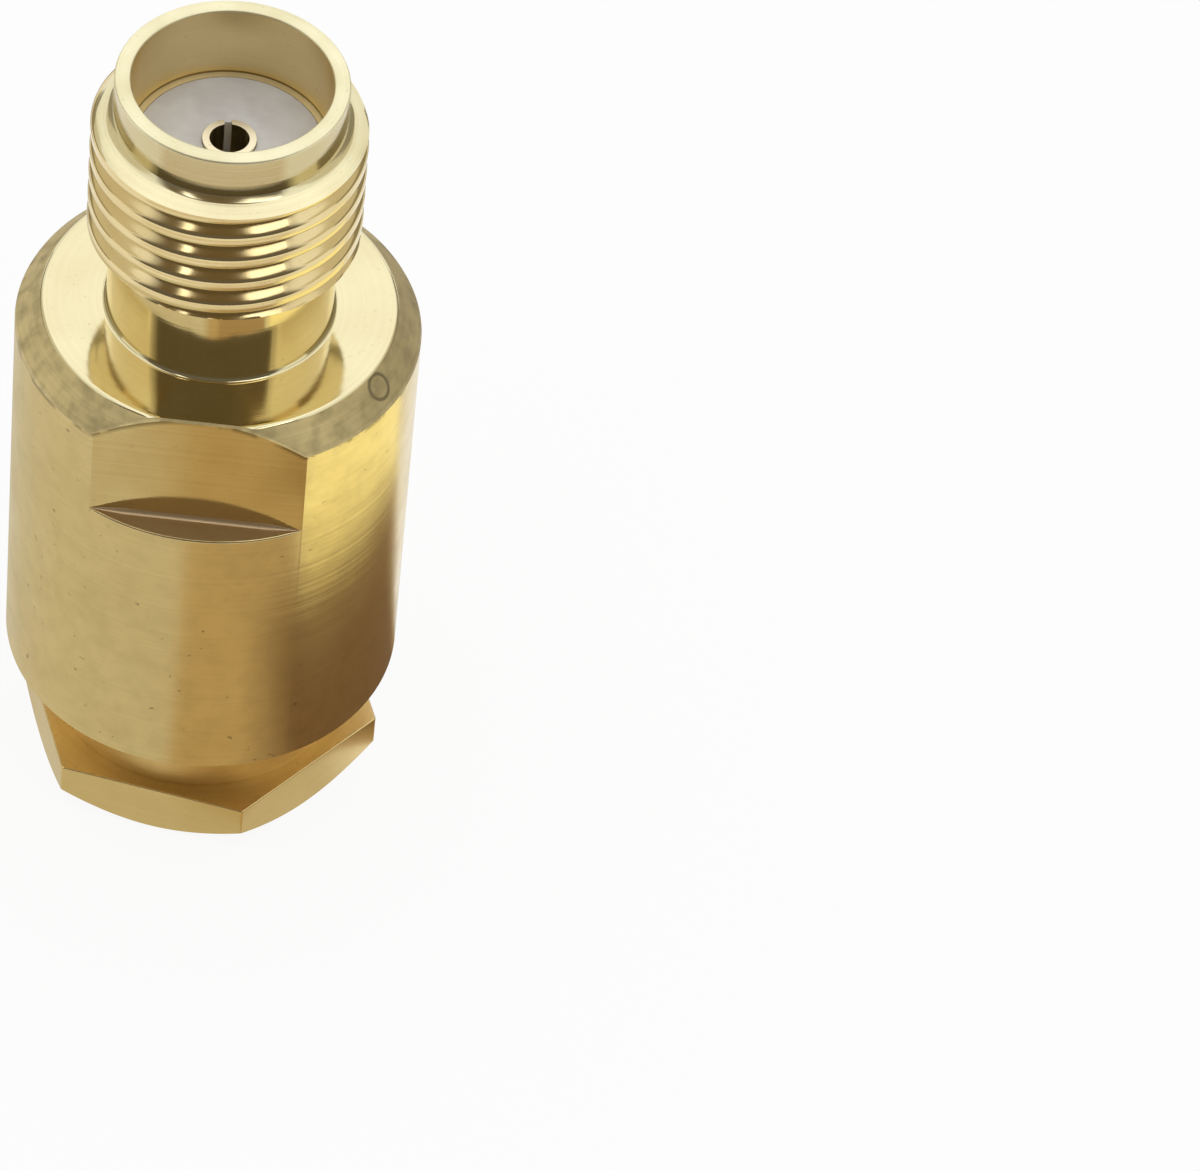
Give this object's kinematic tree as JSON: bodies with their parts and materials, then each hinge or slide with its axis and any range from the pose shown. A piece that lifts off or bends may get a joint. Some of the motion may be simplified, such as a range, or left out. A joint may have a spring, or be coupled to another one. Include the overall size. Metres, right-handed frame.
{
  "type": "coaxial cable jack connector",
  "caption": "Gold-plated coaxial cable jack: round body with wrench flats, threaded jack with white insulator and socket contact, and a hex clamp nut that grips the cable.",
  "frame": {"origin": "on the axis, at the end face of the clamp nut, which stands on the floor", "axes": "+Z along the connector's axis from the clamp nut to the jack, +Y and -Y out of the wrench flats"},
  "size_m": [0.0094, 0.0094, 0.0216],
  "materials": {
    "connector_body": "gold plated, satin with fine turning marks",
    "front_dielectric": "white PTFE, slightly translucent",
    "center_contact": "gold plated, bright",
    "rear_insulator": "white PTFE",
    "braid_clamp": "gold plated, satin",
    "gasket": "dark silicone rubber, matte",
    "slip_washer": "gold plated, bright",
    "clamp_nut": "gold plated, polished with faint tool marks"
  },
  "bodies": {
    "shell": {"connector_body": "connector_body", "front_dielectric": "front_dielectric", "center_contact": "center_contact", "rear_insulator": "rear_insulator"},
    "clamp_stack": {"braid_clamp": "braid_clamp", "gasket": "gasket", "slip_washer": "slip_washer"},
    "nut": {"clamp_nut": "clamp_nut"}
  },
  "joints": [
    {"name": "stack_slide", "type": "slide", "parent": "shell", "child": "clamp_stack", "axis": [0, 0, 1], "range_m": [-0.0023, 0.0018]},
    {"name": "nut_turn", "type": "hinge", "parent": "clamp_stack", "child": "nut", "pos_m": [0, 0, 0], "axis": [0, 0, 1], "range_deg": [-1105, 865]}
  ],
  "couplings": [
    {"joint": "nut_turn", "follows": "stack_slide", "rad_per_m": 8377.6}
  ]
}
